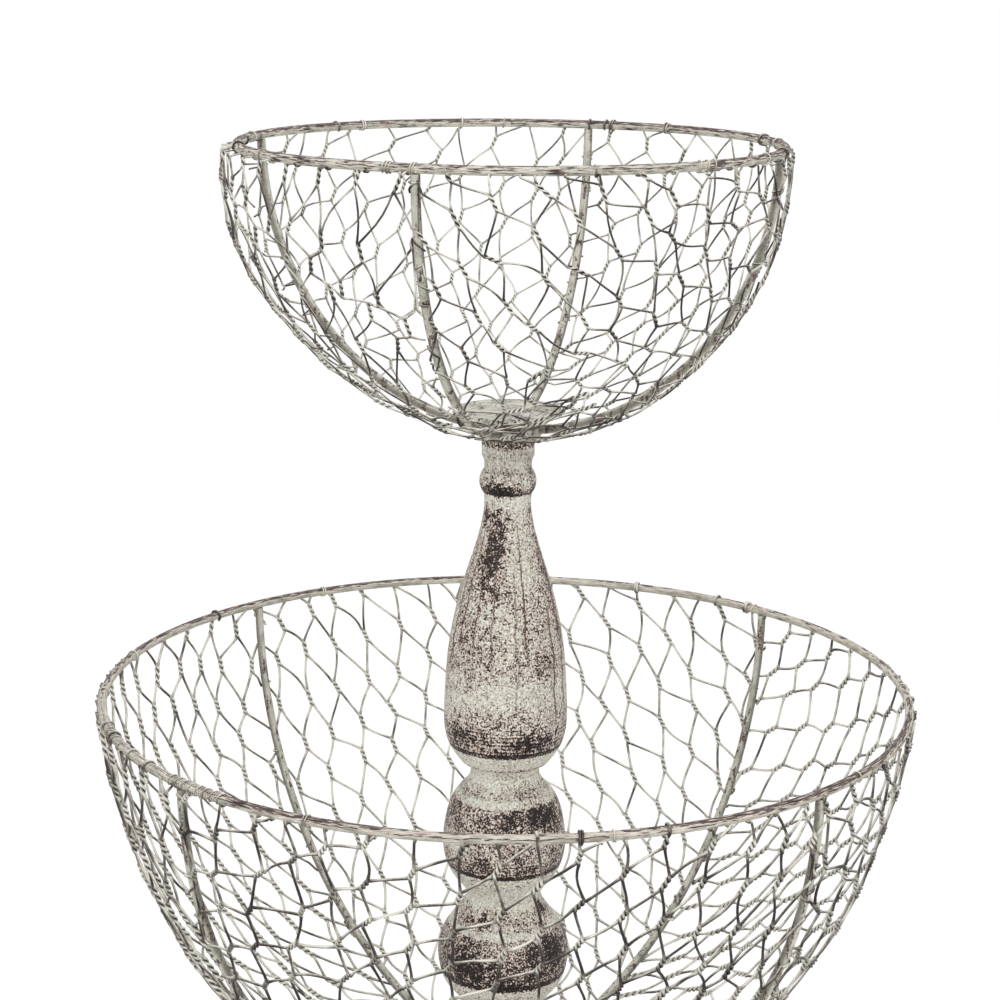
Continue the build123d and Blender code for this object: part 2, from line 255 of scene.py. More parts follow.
# Each turned section: wear, turning lines, cracks and scratches by shares of its
# height from below; blots are bearing from the front, height share, half width,
# half height and how much wear they add
turnedSections = {
    "spindle_vase": {
        "wear": [
            (0.0, 0.05), (0.028, 0.1), (0.031, 0.55), (0.038, 0.5), (0.042, 0.05), (0.085, 0.08),
            (0.091, 0.9), (0.101, 0.8), (0.105, 0.47), (0.145, 0.50), (0.19, 0.37), (0.25, 0.24),
            (0.30, 0.25), (0.36, 0.33), (0.45, 0.30), (0.58, 0.29), (0.70, 0.32), (0.79, 0.37),
            (0.812, 0.12), (0.838, 0.08), (0.842, 1.0), (0.856, 0.78), (0.872, 0.42), (0.90, 0.22),
            (0.907, 0.25), (0.93, 0.10), (0.975, 0.14), (0.985, 0.6), (1.0, 0.3)],
        "lines": [
            (0.0, 0.0), (0.10, 0.8), (0.15, 1.0), (0.2, 0.3), (0.26, 0.0), (0.8, 0.0), (0.85, 0.4),
            (0.9, 0.0)],
        "cracks": [(0.24, 0.0), (0.32, 1.0), (0.58, 1.0), (0.70, 0.0)],
        "scratches": [(0.895, 0.0), (0.91, 1.0), (0.97, 1.0), (0.985, 0.0)],
        "blots": [
            (-24, 0.69, 0.011, 0.026, 0.42), (-62, 0.78, 0.006, 0.006, 0.4),
            # the blot at bearing 72 is painted shade down the vase's right side
            (28, 0.70, 0.012, 0.028, -0.14), (72, 0.62, 0.006, 0.030, 0.22),
            (38, 0.365, 0.008, 0.007, 0.2), (-48, 0.42, 0.008, 0.014, 0.16),
            (24, 0.132, 0.013, 0.006, 0.35), (-52, 0.155, 0.009, 0.006, 0.22),
            (-5, 0.27, 0.014, 0.008, -0.1), (-20, 0.86, 0.013, 0.003, 0.35),
            (45, 0.86, 0.008, 0.005, -0.4), (150, 0.67, 0.009, 0.022, 0.4),
            (-125, 0.15, 0.012, 0.006, 0.35), (170, 0.40, 0.009, 0.012, 0.2)],
    },
    "spindle_upper_ball": {
        "wear": [
            (0.0, 0.05), (0.15, 0.06), (0.20, 0.16), (0.268, 0.14), (0.276, 0.9), (0.295, 0.8),
            (0.31, 0.58), (0.42, 0.46), (0.56, 0.44), (0.70, 0.56), (0.80, 0.52), (0.815, 0.10),
            (0.855, 0.06), (0.87, 0.36), (0.93, 0.22), (0.96, 0.05), (1.0, 0.04)],
        "lines": [(0.2, 0.0), (0.3, 0.5), (0.5, 0.2), (0.8, 0.0)],
        "scratches": [(0.3, 0.0), (0.4, 0.25), (0.84, 0.3), (0.88, 0.8), (0.96, 0.0)],
        "blots": [
            (42, 0.73, 0.013, 0.008, 0.34), (4, 0.72, 0.008, 0.006, 0.16),
            (-50, 0.50, 0.010, 0.006, -0.34), (-40, 0.74, 0.009, 0.006, -0.12),
            (165, 0.6, 0.013, 0.009, 0.3), (-130, 0.5, 0.01, 0.009, -0.25)],
    },
    "spindle_lower_ball": {
        "wear": [
            (0.0, 0.8), (0.03, 0.4), (0.10, 0.35), (0.145, 0.8), (0.165, 0.14), (0.42, 0.06),
            (0.455, 0.5), (0.46, 0.12), (0.575, 0.10), (0.598, 0.9), (0.615, 0.8), (0.63, 0.56),
            (0.72, 0.58), (0.84, 0.52), (0.852, 0.14), (0.872, 0.10), (0.885, 0.34), (0.96, 0.38),
            (0.985, 0.12), (1.0, 0.06)],
        "lines": [(0.55, 0.0), (0.6, 0.6), (0.7, 0.2), (0.85, 0.0)],
        "scratches": [(0.84, 0.0), (0.88, 0.6), (0.98, 0.2), (1.0, 0.0)],
        "blots": [
            (-28, 0.925, 0.006, 0.004, 0.42), (66, 0.955, 0.005, 0.004, 0.5),
            (-36, 0.70, 0.013, 0.009, 0.3), (52, 0.76, 0.014, 0.011, 0.3),
            (-4, 0.64, 0.008, 0.004, 0.2), (6, 0.80, 0.010, 0.006, -0.16),
            (150, 0.72, 0.014, 0.010, 0.3), (-110, 0.8, 0.01, 0.008, -0.2)],
    },
    "foot": {
        "wear": [
            (0.0, 0.7), (0.04, 0.35), (0.20, 0.30), (0.235, 0.85), (0.26, 0.3), (0.45, 0.22),
            (0.75, 0.36), (0.81, 0.85), (0.90, 0.4), (0.95, 0.8), (1.0, 0.2)],
        "lines": [(0.0, 0.8), (0.3, 0.3), (1.0, 0.3)],
        "scratches": [(0.2, 0.0), (0.5, 0.5), (0.8, 0.0)],
        "blots": [(-40, 0.1, 0.02, 0.008, 0.25), (30, 0.4, 0.012, 0.01, 0.3), (150, 0.3, 0.02, 0.012, 0.25)],
    },
}
for name, finish in turnedSections.items():
    low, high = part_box(name)
    dress([name], paintedWood(f"distressedPaintOn_{name}", low.z, high.z, **finish))
print("wood dressed")


# Sprayed whitewash on steel rod: chalky grey-green, rubbed brown where hands go

rodPaint = {
    "sprayed": [(0.36, "#a9aa9c"), (0.48, "#c9c9bb"), (0.68, "#dfd8ca")],
    "onRibs": [(0.36, "#a5a597"), (0.48, "#c0bfb0"), (0.68, "#d6d2c4")],
    "rubbed": [(0.44, "#7c6660"), (0.60, "#2e2320")],
    # sideShade is the colour of the painted shade on a rib's two sides
    "highlightCream": "#dfd8ca", "rub": "#7c6660", "sideShade": "#57504a",
    # noises: size in metres and detail, all with one grit
    "fine": (0.0011, 3.0), "soft": (0.007, 3.0), "patch": (0.016, 3.0), "streak": (0.0006, 2.0), "grit": 0.6,
    "longPatch": (6, 6, 0.6), "streakStretch": 0.10, "shadeLineLevel": 0.0005, "lineShare": 0.6, "sideShadeGrain": 0.3,
    # how bare each part is, and how that sets the edge between paint and brown
    "bare": {"lower_rim": 0.2, "upper_rim": 0.5, "ribs": 0.5, "disc": 0.66},
    "edgeAt": 0.66, "edgePerBare": 0.2, "edgeHalf": 0.03, "fineShare": 0.5, "fineShareOnRibs": 0.25,
    "roughness": 0.55, "bump": 0.35, "grainDepth": 0.0003,
    # Map Range values: 1 and 2 are read, 3 and 4 are what they become
    # sideShadeFade sets how far that painted shade reaches
    "sideShadeFade": {1: 0.75, 2: 1.15, 3: 0.0, 4: 0.75}, "wobble": {1: 0.3, 2: 0.7, 3: -0.0005, 4: 0.0005},
    "crownEdge": {3: 0.0022, 4: 0.0004}, "crownFade": {1: -0.0004, 2: 0.0002},
    # upperHighlight lays the painted highlight on a rim's upper half, shadeLineFade sets the width of its
    # painted shade line
    "upperHighlight": {1: 0.0002, 2: 0.0008, 3: 0.0, 4: 0.85},
    "shadeLineFade": {1: 0.0002, 2: 0.0004, 3: 1.0, 4: 0.0}, "outerSide": {1: 0.0, 2: 0.001},
    "broken": {1: 0.38, 2: 0.46}, "streaky": {1: 0.94, 2: 1.06}, "thin": {1: 0.40, 2: 0.62, 3: 0.0, 4: 0.6},
    # how far a rim's crown is rubbed, by bearing: 0 is the back, 0.25 the left, 0.5 the front
    "crown": {
        "lower": [
            (0.0, 0.6), (0.08, 0.75), (0.17, 0.65), (0.22, 0.4), (0.28, 0.3), (0.385, 0.4), (0.405, 0.95),
            (0.44, 0.7), (0.47, 0.2), (0.53, 0.1), (0.58, 0.65), (0.65, 0.85), (0.70, 0.45), (0.75, 0.2),
            (1.0, 0.25)],
        "upper": [
            (0.0, 0.95), (0.2, 0.9), (0.3, 0.5), (0.42, 0.3), (0.58, 0.35), (0.7, 0.85), (1.0, 0.95)],
    },
}


def paintedRod(name, bare, rim=None, rib=False):
    made, tree, shader = newMaterial(name)
    place = addNode(tree, "TexCoord", output="Object")
    fineKind, fineWhere, patchWhere = "fine", place, place
    if rib:
        patchWhere = addNode(tree, "Mapping", {"Vector": place, "Scale": rodPaint["longPatch"]})
    if rim:
        # the rod laid straight: round the bowl, up and out, so that the wear runs along it
        rimHeight, rimRadius, crownStops = rim
        x, y, z = addNode(tree, "SeparateXYZ", {0: place}).node.outputs
        rise = addNode(tree, "Math", {0: z, 1: rimHeight}, operation="SUBTRACT")
        flat = addNode(tree, "VectorMath", {0: place, 1: (1, 1, 0)}, operation="MULTIPLY")
        outside = addNode(tree, "VectorMath", {0: flat}, output="Value", operation="LENGTH")
        outside = addNode(tree, "Math", {0: outside, 1: rimRadius}, operation="SUBTRACT")
        front = addNode(tree, "Math", {0: y, 1: -1.0}, operation="MULTIPLY")
        bearing = addNode(tree, "Math", {0: x, 1: front}, operation="ARCTAN2")
        bearing = addNode(tree, "MapRange", {0: bearing, 1: -math.pi, 2: math.pi})
        girth = 2 * math.pi * rimRadius * rodPaint["streakStretch"]
        run = addNode(tree, "Math", {0: bearing, 1: girth}, operation="MULTIPLY")
        fineKind, fineWhere = "streak", addNode(tree, "CombineXYZ", {0: run, 1: rise, 2: outside})
    fine, soft, patch = (
        addNode(tree, "TexNoise", {
            "Vector": where, "Scale": 1 / size, "Detail": detail, "Roughness": rodPaint["grit"]})
        for where, (size, detail) in (
            (fineWhere, rodPaint[fineKind]), (place, rodPaint["soft"]), (patchWhere, rodPaint["patch"])))

    pale = addNode(tree, "ValToRGB", {0: soft}, rodPaint["onRibs" if rib else "sprayed"])
    if rib:
        # painted shade on a rib's two sides, darker where the surface faces round the bowl
        aside = addNode(tree, "VectorMath", {0: place, 1: (0, 0, 1)}, operation="CROSS_PRODUCT")
        aside = addNode(tree, "VectorMath", {0: aside}, operation="NORMALIZE")
        normal = addNode(tree, "TexCoord", output="Normal")
        aside = addNode(tree, "VectorMath", {0: aside, 1: normal}, output="Value", operation="DOT_PRODUCT")
        aside = addNode(tree, "Math", {0: aside}, operation="ABSOLUTE")
        sideShade = addNode(tree, "Math", {0: fine, 1: rodPaint["sideShadeGrain"], 2: aside}, operation="MULTIPLY_ADD")
        sideShade = addNode(tree, "MapRange", {0: sideShade, **rodPaint["sideShadeFade"]})
        inSideShade = {0: sideShade, 6: pale, 7: colour(rodPaint["sideShade"])}
        pale = addNode(tree, "Mix", inSideShade, output=2, data_type="RGBA")
    fineShare = rodPaint["fineShareOnRibs" if rib else "fineShare"]
    grown = addNode(tree, "Mix", {0: fineShare, 2: patch, 3: fine})
    edge = rodPaint["edgeAt"] - rodPaint["edgePerBare"] * bare
    half = rodPaint["edgeHalf"]
    rub = addNode(tree, "MapRange", {0: grown, 1: edge - half, 2: edge + half})

    if rim:
        # painted highlight in cream on the rod's upper half, a rubbed crown, and a broken line of painted
        # shade on its outer side
        wobble = addNode(tree, "MapRange", {0: soft, **rodPaint["wobble"]})
        level = addNode(tree, "Math", {0: rise, 1: wobble}, operation="ADD")
        upper = addNode(tree, "MapRange", {0: level, **rodPaint["upperHighlight"]})
        inHighlight = {0: upper, 6: pale, 7: colour(rodPaint["highlightCream"])}
        pale = addNode(tree, "Mix", inHighlight, output=2, data_type="RGBA")
        crown = addNode(tree, "ValToRGB", {0: bearing}, crownStops)
        crown = addNode(tree, "MapRange", {0: crown, **rodPaint["crownEdge"]})
        crown = addNode(tree, "Math", {0: level, 1: crown}, operation="SUBTRACT")
        crown = addNode(tree, "MapRange", {0: crown, **rodPaint["crownFade"]})
        # painted shade: a thin dark line along the middle of the rod's outer side
        line = addNode(tree, "Math", {0: level, 1: rodPaint["shadeLineLevel"]}, operation="SUBTRACT")
        line = addNode(tree, "Math", {0: line}, operation="ABSOLUTE")
        line = addNode(tree, "MapRange", {0: line, **rodPaint["shadeLineFade"]})
        outerSide = addNode(tree, "MapRange", {0: outside, **rodPaint["outerSide"]})
        line = addNode(tree, "Math", {0: line, 1: outerSide}, operation="MULTIPLY")
        broken = addNode(tree, "MapRange", {0: patch, **rodPaint["broken"]})
        line = addNode(tree, "Math", {0: line, 1: broken}, operation="MULTIPLY")
        line = addNode(tree, "Math", {0: crown, 1: line}, operation="MAXIMUM")
        # the rubbing leaves paint in streaks along the rod, and the painted shade line shows in the same
        # brown
        worn = addNode(tree, "Math", {0: line, 1: rodPaint["lineShare"], 2: fine}, operation="MULTIPLY_ADD")
        worn = addNode(tree, "MapRange", {0: worn, **rodPaint["streaky"]})
        worn = addNode(tree, "Math", {0: worn, 1: line}, operation="MULTIPLY")
        rub = addNode(tree, "Math", {0: rub, 1: worn}, operation="MAXIMUM")
        thin = addNode(tree, "MapRange", {0: fine, **rodPaint["thin"]})
        inRub = {0: thin, 6: pale, 7: colour(rodPaint["rub"])}
        pale = addNode(tree, "Mix", inRub, output=2, data_type="RGBA")

    brown = addNode(tree, "ValToRGB", {0: fine}, rodPaint["rubbed"])
    tone = addNode(tree, "Mix", {0: rub, 6: pale, 7: brown}, output=2, data_type="RGBA")
    bump = addNode(tree, "Bump", {
        "Strength": rodPaint["bump"], "Distance": rodPaint["grainDepth"], "Height": fine})
    tree.links.new(tone, shader.inputs["Base Color"])
    tree.links.new(bump, shader.inputs["Normal"])
    shader.inputs["Roughness"].default_value = rodPaint["roughness"]
    return made


def middleHeight(name):
    low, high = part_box(name)
    return (low.z + high.z) / 2


for tier in ("lower", "upper"):
    rimName = f"{tier}_rim"
    rimLow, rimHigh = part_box(rimName)
    rimRadius = (rimHigh.x - rimLow.x - (rimHigh.z - rimLow.z)) / 2
    about = (middleHeight(rimName), rimRadius, rodPaint["crown"][tier])
    dress([rimName], paintedRod(f"whitewashOnRim_{tier}", rodPaint["bare"][rimName], about))
    ribPaint = paintedRod(f"whitewashOnRibs_{tier}", rodPaint["bare"]["ribs"], rib=True)
    dress([f"{tier}_rib_{n}" for n in (1, 2, 3, 4)] + [f"{tier}_hub"], ribPaint)
dress(["floor_disc"], paintedRod("whitewashOnDisc", rodPaint["bare"]["disc"]))

# Bright zinc on the steel rod, nut and washers: a dull spangle under a thin shine
zincFinish = {"spangle": 0.002, "tones": [(0.0, "#8f9498"), (1.0, "#b9bdc0")], "roughness": 0.42}
zinc, tree, shader = newMaterial("zincPlatedSteel")
place = addNode(tree, "TexCoord", output="Object")
spangle = addNode(tree, "TexVoronoi", {"Vector": place, "Scale": 1 / zincFinish["spangle"]})
tone = addNode(tree, "ValToRGB", {0: spangle}, zincFinish["tones"])
tree.links.new(tone, shader.inputs["Base Color"])
shader.inputs["Metallic"].default_value = 1.0
shader.inputs["Roughness"].default_value = zincFinish["roughness"]
dress(["tie_rod", "base_nut", "base_washer", "lower_turning_washer", "upper_turning_washer"], zinc)

# Pressed wool felt: short fibres, no shine
feltFinish = {
    "fibre": 0.0006, "detail": 4.0, "tones": [(0.35, "#3b3733"), (0.65, "#5d5850")],
    "roughness": 0.95, "bump": 0.6, "depth": 0.0004,
}
felt, tree, shader = newMaterial("woolFelt")
place = addNode(tree, "TexCoord", output="Object")
fibre = addNode(tree, "TexNoise", {
    "Vector": place, "Scale": 1 / feltFinish["fibre"], "Detail": feltFinish["detail"]})
tone = addNode(tree, "ValToRGB", {0: fibre}, feltFinish["tones"])
bump = addNode(tree, "Bump", {
    "Strength": feltFinish["bump"], "Distance": feltFinish["depth"], "Height": fibre})
tree.links.new(tone, shader.inputs["Base Color"])
tree.links.new(bump, shader.inputs["Normal"])
shader.inputs["Roughness"].default_value = feltFinish["roughness"]
dress(["foot_felt"], felt)
print("steel and felt dressed")


# Whitewash on netting wire: worn to dark brown on the single strands, thick and
# pale in the twists, with painted shade where a twist's two strands meet

wirePaint = {
    "tones": [(0.12, "#191211"), (0.32, "#493d38"), (0.50, "#817c72"), (0.68, "#b9b6a9"), (0.90, "#eae6da")],
    "creaseShade": "#191211", "innerCreaseShade": 0.7,
    "patch": 0.013, "speck": 0.0010, "detail": 2.0, "speckShare": 0.15,
    "inTwists": 0.34, "byStrand": 0.15, "rubbed": 0.18, "outerSide": {1: -0.3, 2: 0.5}, "roughness": 0.5,
    # material, how pale, contrast of the wear, how much painted light on the tops and painted shade under
    # them
    "kinds": {
        "even": ("whitewashOnNettingWire", 0.08, 1.9, 0.36),            # soft grey-green, as sprayed
        "grey": ("thinWhitewashOnNettingWire", 0.03, 1.9, 0.34),        # a little steel shows through
        "worn": ("wornWhitewashOnNettingWire", 0.10, 2.3, 0.40),        # pale and brown in turn
        "bare": ("rubbedWhitewashOnNettingWire", -0.02, 2.3, 0.42),     # mostly brown, pale twists
        "clogged": ("cloggedWhitewashOnTieWire", 0.24, 1.0, 0.24),      # thick cream in the coils
    },
}


def paintedWire(name, lift, contrast, topLight):
    made, tree, shader = newMaterial(name)
    place = addNode(tree, "TexCoord", output="Object")
    normal = addNode(tree, "TexCoord", output="Normal")
    patch, speck = (
        addNode(tree, "TexNoise", {
            "Vector": place, "Scale": 1 / wirePaint[size], "Detail": wirePaint["detail"]})
        for size in ("patch", "speck"))
    wound, creaseShade, strand = (
        addNode(tree, "Attribute", output="Fac", attribute_name=mark)
        for mark in ("wound", "creaseShade", "strand"))
    level = addNode(tree, "Mix", {0: wirePaint["speckShare"], 2: patch, 3: speck})
    spread = {1: 0.5 - 0.5 / contrast, 2: 0.5 + 0.5 / contrast, 3: 0.0, 4: 1.0}
    level = addNode(tree, "MapRange", {0: level, **spread}, clamp=False)
    # hands rub the basket's outer side; the tops of the wires get painted light and their undersides painted
    # shade
    outer = addNode(tree, "VectorMath", {0: place, 1: (1, 1, 0)}, operation="MULTIPLY")
    outer = addNode(tree, "VectorMath", {0: outer}, operation="NORMALIZE")
    outer = addNode(tree, "VectorMath", {0: outer, 1: normal}, output="Value", operation="DOT_PRODUCT")
    outer = addNode(tree, "MapRange", {0: outer, **wirePaint["outerSide"]})
    for value, amount in (
        (wound, wirePaint["inTwists"]), (strand, wirePaint["byStrand"]), (outer, -wirePaint["rubbed"]),
    ):
        level = addNode(tree, "Math", {0: value, 1: amount, 2: level}, operation="MULTIPLY_ADD")
    # painted light and shade: paler where the normal points up, darker where it points down
    upwards = addNode(tree, "SeparateXYZ", {0: normal}, output="Z")
    upwards = addNode(tree, "Math", {0: upwards, 1: topLight, 2: lift}, operation="MULTIPLY_ADD")
    level = addNode(tree, "Math", {0: upwards, 1: level}, operation="ADD", use_clamp=True)
    tone = addNode(tree, "ValToRGB", {0: level}, wirePaint["tones"])
    # painted shade in a twist's crease, a little lighter on the bowl's inner side
    depth = addNode(tree, "MapRange", {0: outer, 3: wirePaint["innerCreaseShade"], 4: 1.0})
    creaseShade = addNode(tree, "Math", {0: creaseShade, 1: depth}, operation="MULTIPLY")
    inCreaseShade = {0: creaseShade, 6: tone, 7: colour(wirePaint["creaseShade"])}
    tone = addNode(tree, "Mix", inCreaseShade, output=2, data_type="RGBA")
    tree.links.new(tone, shader.inputs["Base Color"])
    shader.inputs["Roughness"].default_value = wirePaint["roughness"]
    return made


wirePaints = {kind: paintedWire(*values) for kind, values in wirePaint["kinds"].items()}

# Netting: each basket is dressed in four gores of twisted hexagonal netting,
# one between each pair of ribs, cut at the ribs and hooked over the rim

netting = {
    "lower": {
        "wire": 0.00128, "windings": 1.5, "rod": 0.002, "hole": 0.031, "seamPast": 0.0002,
        "jitter": 0.0009, "swing": 7.0, "bow": 0.040, "warp": 0.0026, "ripple": 0.0024,
        "sag": -0.0095, "bulge": 0.0, "leftBulge": 0.0, "wraps": 0.08, "lashed": 0.4,
        # middle is the bearing from the front, lowSag draws a gore in lower down, and
        # shade darkens the strands that run one way
        "gores": [
            {"middle": -1.1, "lean": 28.0, "fan": 0.45, "cell": 0.0190, "twist": 0.0066, "slant": 0.0114,
             "lowSag": 0.0, "shade": 0.8, "paint": "bare", "hook": "under"},
            {"middle": 88.9, "lean": -36.0, "fan": 0.15, "cell": 0.0184, "twist": 0.0090, "slant": 0.0106,
             "lowSag": -0.0085, "shade": 0.0, "paint": "even", "hook": "over"},
            {"middle": 178.9, "lean": 22.0, "fan": 0.36, "cell": 0.0179, "twist": 0.0082, "slant": 0.0124,
             "lowSag": 0.0, "shade": 0.0, "paint": "even", "hook": "over"},
            {"middle": -91.1, "lean": -4.5, "fan": -0.25, "cell": 0.0184, "twist": 0.0088, "slant": 0.0120,
             "lowSag": 0.0, "shade": 0.0, "paint": "even", "hook": "over"},
        ],
    },
    "upper": {
        "wire": 0.00094, "windings": 1.5, "rod": 0.002, "hole": 0.016, "seamPast": 0.0002,
        "jitter": 0.0016, "swing": 12.0, "bow": 0.040, "warp": 0.0036, "ripple": 0.0012,
        "sag": -0.0010, "bulge": 0.0034, "leftBulge": 0.0070, "wraps": 0.12, "lashed": 0.45,
        "gores": [
            {"middle": 26.6, "lean": -37.0, "fan": 0.42, "cell": 0.0162, "twist": 0.0080, "slant": 0.0102,
             "lowSag": 0.0, "shade": 0.0, "paint": "worn", "hook": "under"},
            {"middle": 116.6, "lean": -6.0, "fan": 0.35, "cell": 0.0172, "twist": 0.0062, "slant": 0.0104,
             "lowSag": 0.0, "shade": 0.0, "paint": "grey", "hook": "over"},
            {"middle": -153.4, "lean": -27.0, "fan": 0.42, "cell": 0.0184, "twist": 0.0062, "slant": 0.0110,
             "lowSag": 0.0, "shade": 0.0, "paint": "grey", "hook": "over"},
            {"middle": -63.4, "lean": 18.0, "fan": 0.40, "cell": 0.0168, "twist": 0.0078, "slant": 0.0098,
             "lowSag": -0.0060, "shade": 0.0, "paint": "worn", "hook": "under"},
        ],
    },
}

# The form of the netting's surface, in metres and in shares of the bowl's height
bowlForm = {
    "points": 400, "clear": 0.0001, "leastRadius": 0.004, "lowTop": 0.9, "lowFade": 0.4, "otherSide": 0.3,
    "swellPower": 0.8, "crownPower": 0.7, "crownRun": 0.9, "crownStart": 0.02, "crownLow": 0.35,
    # waves: turns round the bowl, rate up it and shift
    "wobble": 0.0006, "wobbleWave": (7, 40, 90), "dentWaves": ((13, 55, 0), (23, -95, 1)),
}


def bowlShape(tier):
    # a quarter ellipse from the hub's middle out and up to the rim's
    low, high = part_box(f"{tier}_rim")
    across = (high.x - low.x) / 2 - netting[tier]["rod"]
    rimZ = (low.z + high.z) / 2
    down = rimZ - middleHeight(f"{tier}_hub")
    angle = np.linspace(0, math.pi / 2, bowlForm["points"])
    steps = np.hypot(*np.diff(np.stack([across * np.sin(angle), -down * np.cos(angle)])))
    along = np.concatenate([[0], np.cumsum(steps)])
    return {"across": across, "down": down, "rimZ": rimZ, "angle": angle, "along": along, "length": along[-1]}


def onBowl(bowl, net, bearing, along, out=0.0):
    # point and normal on the netting's surface, along is the way up from the bowl's bottom
    share = min(max(along / bowl["length"], 0.0), 1.0)
    angle = np.interp(along, bowl["along"], bowl["angle"])
    pastRib = (bearing - math.radians(net["gores"][0]["middle"] - 45)) % (2 * math.pi)
    fromRibs = (1 - math.cos(4 * pastRib)) / 2
    gore = net["gores"][min(int(pastRib / (math.pi / 2)), 3)]
    low = min(max((bowlForm["lowTop"] - share) / bowlForm["lowFade"], 0.0), 1.0)
    sag = net["sag"] + gore["lowSag"] * low * low * (3 - 2 * low)
    left = max(-math.sin(bearing), -bowlForm["otherSide"] * math.sin(bearing))
    swell = math.sin(math.pi * share) ** bowlForm["swellPower"]
    risen = min(1.0, share * bowlForm["crownRun"] + bowlForm["crownStart"])
    crown = math.sin(math.pi * risen) ** bowlForm["crownPower"]
    crown *= bowlForm["crownLow"] + (1 - bowlForm["crownLow"]) * share
    stand = net["rod"] + net["wire"] / 2 + bowlForm["clear"]
    stand += sag * fromRibs * swell + net["bulge"] * crown + net["leftBulge"] * crown * share * left
    turns, rate, shift = bowlForm["wobbleWave"]
    wobble = math.sin(turns * bearing + rate * along + bowl["across"] * shift)
    stand += bowlForm["wobble"] * swell * wobble
    # dents and bumps, none over the ribs
    dents = sum(
        math.sin(turns * bearing + rate * along + shift) for turns, rate, shift in bowlForm["dentWaves"])
    stand += net["ripple"] * fromRibs * swell * dents / 2
    normalR, normalZ = math.sin(angle) / bowl["across"], -math.cos(angle) / bowl["down"]
    size = math.hypot(normalR, normalZ)
    normalR, normalZ = normalR / size, normalZ / size
    radius = bowl["across"] * math.sin(angle) + (stand + out) * normalR
    height = bowl["rimZ"] - bowl["down"] * math.cos(angle) + (stand + out) * normalZ
    height += max(along - bowl["length"], 0.0)
    point = Vector((radius * math.sin(bearing), -radius * math.cos(bearing), height))
    normal = Vector((normalR * math.sin(bearing), -normalR * math.cos(bearing), normalZ))
    return point, normal


def sheetToBowl(bowl, gore, x, y):
    # the flat netting is laid on the gore as a fan, so that its cells keep their size
    fanRadius = gore["fanRadius"]
    distance = math.hypot(x, y + fanRadius) * (1 if fanRadius > 0 else -1)
    along = distance - fanRadius
    reach = math.atan2(x, abs(y + fanRadius)) * abs(distance)
    angle = np.interp(along, bowl["along"], bowl["angle"])
    radius = max(bowl["across"] * math.sin(angle), bowlForm["leastRadius"])
    return gore["middle"] + reach / radius, along


# How the wires are laid, wound and bent
weaving = {
    "spare": 0.022,                # flat netting past the rim and the hole, before it is cut
    "spareAngle": 66, "goreHalf": 45, "centre": 0.55,
    "warpWaves": 6, "warpRates": (40, 95), "twistLengths": (0.82, 1.15),
    "coil": 0.52, "twistSteps": 12, "strandSteps": 5,
    "leave": 0.10, "arrive": 0.05, "belly": 0.4, "strandTones": 0.8, "darkestStrand": -0.9,
    "underRim": 0.0016, "shortest": 3,
    # hooks and lashings, in degrees round the rod
    "hookStart": -30, "hookEnds": {"over": 10, "under": -200, "wrap": 240}, "hookLead": 0.0011,
    "hookRoom": 0.0009, "lashStart": -50, "lashEnds": (70, 100, 130), "lashSlide": 0.0065,
    "bendStep": 30, "clear": 0.00005, "bevelResolution": 1,
}


def layTwists(net, bowl, gore, cut, reach, dice):
    # the twists of the flat netting, in rows and columns, bent on to the bowl
    lean = math.radians(cut["lean"])
    up = (math.sin(lean), math.cos(lean))
    side = (math.cos(lean), -math.sin(lean))
    rowStep = cut["twist"] + cut["slant"]
    rates = weaving["warpRates"]
    waves = [
        (dice.uniform(*rates), dice.uniform(*rates), dice.uniform(0, 6.3), dice.choice((0, 1)))
        for _ in range(weaving["warpWaves"])]
    centre = bowl["length"] * weaving["centre"]
    twists = {}
    for row in range(-reach, reach + 1):
        for column in range(-2 * reach, 2 * reach + 1):
            if (row + column) % 2:
                continue
            x = column * cut["cell"] / 2 * side[0] + row * rowStep * up[0]
            y = column * cut["cell"] / 2 * side[1] + row * rowStep * up[1] + centre
            bend = [0.0, 0.0]
            for rateX, rateY, phase, axis in waves:
                bend[axis] += math.sin(rateX * x + rateY * y + phase) * net["warp"] / 2
            x += bend[0] + dice.gauss(0, net["jitter"])
            y += bend[1] + dice.gauss(0, net["jitter"])
            swing = lean + math.radians(dice.gauss(0, net["swing"]))
            half = cut["twist"] / 2 * dice.uniform(*weaving["twistLengths"])
            bearing, along = sheetToBowl(bowl, gore, x, y)
            if abs(bearing - gore["middle"]) > math.radians(weaving["spareAngle"]):
                continue
            if along > bowl["length"] + weaving["spare"] or along < net["hole"] - weaving["spare"]:
                continue
            tip = (half * math.sin(swing), half * math.cos(swing))
            start, startNormal = onBowl(bowl, net, *sheetToBowl(bowl, gore, x - tip[0], y - tip[1]))
            finish, finishNormal = onBowl(bowl, net, *sheetToBowl(bowl, gore, x + tip[0], y + tip[1]))
            if (finish - start).length > 3 * half:
                continue
            dice.random()  # passed over; an unused draw that the later draws follow
            normal = (startNormal + finishNormal).normalized()
            way = (finish - start).normalized()
            twists[column, row] = {
                "start": start, "finish": finish, "way": way, "across": way.cross(normal), "normal": normal}
    return twists


